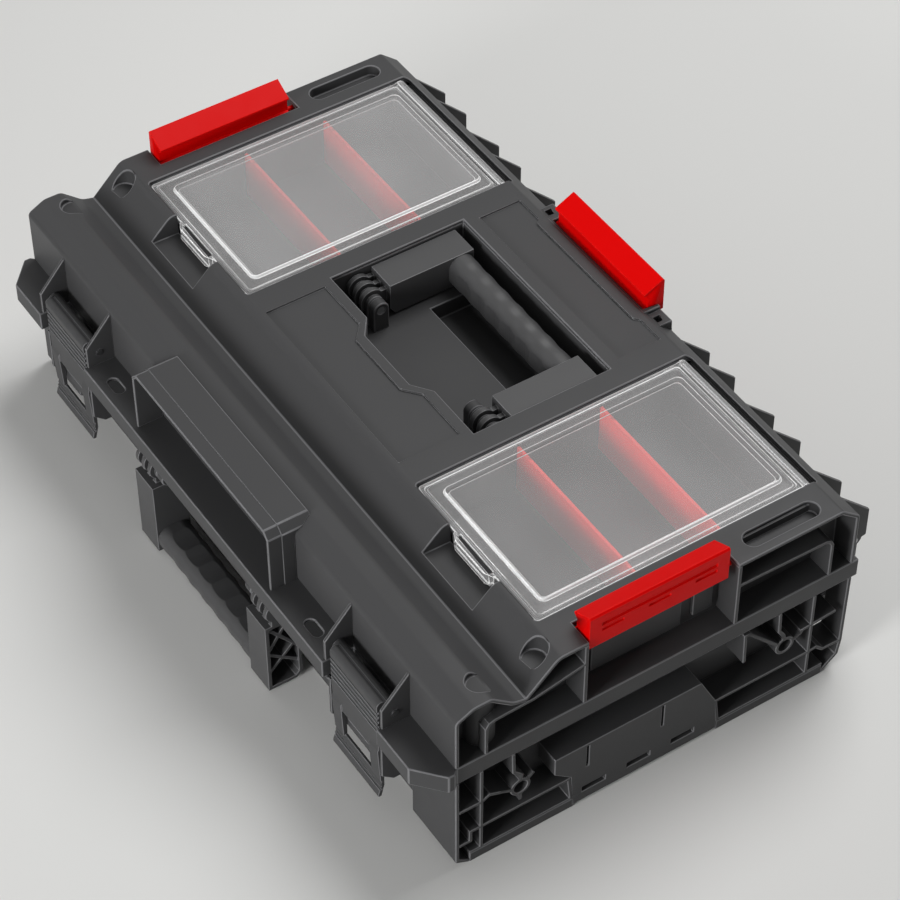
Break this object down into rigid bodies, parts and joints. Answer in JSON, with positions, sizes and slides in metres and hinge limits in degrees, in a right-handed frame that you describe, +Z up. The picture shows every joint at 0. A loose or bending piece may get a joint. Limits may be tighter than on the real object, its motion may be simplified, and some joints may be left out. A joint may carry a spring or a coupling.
{
  "type": "stackable tool case with organiser lid",
  "caption": "Wide stackable tool case with a hinged organiser lid, clear covers, folding and hanging handles, front latches and red stacking clips.",
  "frame": {"origin": "on the floor, in the middle under the whole case", "axes": "+X to the right seen from the front, +Y from the front to the hinge, +Z up"},
  "size_m": [0.585, 0.3816, 0.187],
  "materials": {
    "case_plastic": "fine moulded texture",
    "handle_plastic": "fine moulded texture",
    "red_plastic": "smooth moulded",
    "clear_plastic": "clear, slightly milky",
    "pin_steel": "drawn",
    "seal_rubber": "matt"
  },
  "bodies": {
    "base": {"base_tub": "case_plastic", "base_feet": "case_plastic", "base_side_left": "case_plastic", "base_side_right": "case_plastic", "base_front": "case_plastic", "base_catches": "case_plastic", "base_rear": "case_plastic", "front_handle_brackets": "case_plastic", "rim_seal": "seal_rubber", "hinge_pin_left": "pin_steel", "hinge_pin_right": "pin_steel", "front_handle_pins": "pin_steel"},
    "lid": {"lid_shell": "case_plastic", "lid_flange": "case_plastic", "lid_side_left": "case_plastic", "lid_side_right": "case_plastic", "lid_hood": "case_plastic", "lid_gussets": "case_plastic", "lid_hinge_ears": "case_plastic", "rear_clip_brackets": "case_plastic", "bin_left": "case_plastic", "bin_right": "case_plastic", "handle_well": "case_plastic", "top_handle_brackets": "case_plastic", "top_handle_pins": "pin_steel", "latch_pin_left": "pin_steel", "latch_pin_right": "pin_steel", "clip_rod_left": "red_plastic", "clip_rod_right": "red_plastic", "clip_rod_rear": "red_plastic", "cover_pin_left": "pin_steel", "cover_pin_right": "pin_steel", "divider_left_front": "red_plastic", "divider_left_rear": "red_plastic", "divider_right_front": "red_plastic", "divider_right_rear": "red_plastic"},
    "hanging_handle": {"front_handle": "handle_plastic", "front_grip": "handle_plastic"},
    "folding_handle": {"top_handle": "handle_plastic", "top_grip": "handle_plastic"},
    "left_latch": {"latch_left": "case_plastic"},
    "right_latch": {"latch_right": "case_plastic"},
    "left_cover": {"cover_left": "clear_plastic"},
    "right_cover": {"cover_right": "clear_plastic"},
    "left_clip": {"clip_left": "red_plastic"},
    "right_clip": {"clip_right": "red_plastic"},
    "rear_clip": {"clip_rear": "red_plastic"}
  },
  "joints": [
    {"name": "lid_hinge", "type": "hinge", "parent": "base", "child": "lid", "pos_m": [0, 0.18, 0.098], "axis": [-1, 0, 0], "range_deg": [0, 100]},
    {"name": "hanging_handle_hinge", "type": "hinge", "parent": "base", "child": "hanging_handle", "pos_m": [0, -0.17975, 0.081], "axis": [-1, 0, 0], "range_deg": [0, 90]},
    {"name": "folding_handle_hinge", "type": "hinge", "parent": "lid", "child": "folding_handle", "pos_m": [0, 0.0005, 0.152], "axis": [1, 0, 0], "range_deg": [0, 90]},
    {"name": "left_latch_hinge", "type": "hinge", "parent": "lid", "child": "left_latch", "pos_m": [-0.1995, -0.176, 0.119], "axis": [-1, 0, 0], "range_deg": [0, 90]},
    {"name": "right_latch_hinge", "type": "hinge", "parent": "lid", "child": "right_latch", "pos_m": [0.1995, -0.176, 0.119], "axis": [-1, 0, 0], "range_deg": [0, 90]},
    {"name": "left_cover_hinge", "type": "hinge", "parent": "lid", "child": "left_cover", "pos_m": [-0.1835, 0.1419, 0.1624], "axis": [-1, 0, 0], "range_deg": [0, 110]},
    {"name": "right_cover_hinge", "type": "hinge", "parent": "lid", "child": "right_cover", "pos_m": [0.1835, 0.1419, 0.1624], "axis": [-1, 0, 0], "range_deg": [0, 110]},
    {"name": "left_clip_hinge", "type": "hinge", "parent": "lid", "child": "left_clip", "pos_m": [-0.27875, -0.004, 0.1605], "axis": [0, -1, 0], "range_deg": [0, 60]},
    {"name": "right_clip_hinge", "type": "hinge", "parent": "lid", "child": "right_clip", "pos_m": [0.27875, -0.004, 0.1605], "axis": [0, 1, 0], "range_deg": [0, 60]},
    {"name": "rear_clip_hinge", "type": "hinge", "parent": "lid", "child": "rear_clip", "pos_m": [0, 0.15855, 0.1605], "axis": [-1, 0, 0], "range_deg": [0, 60]}
  ]
}
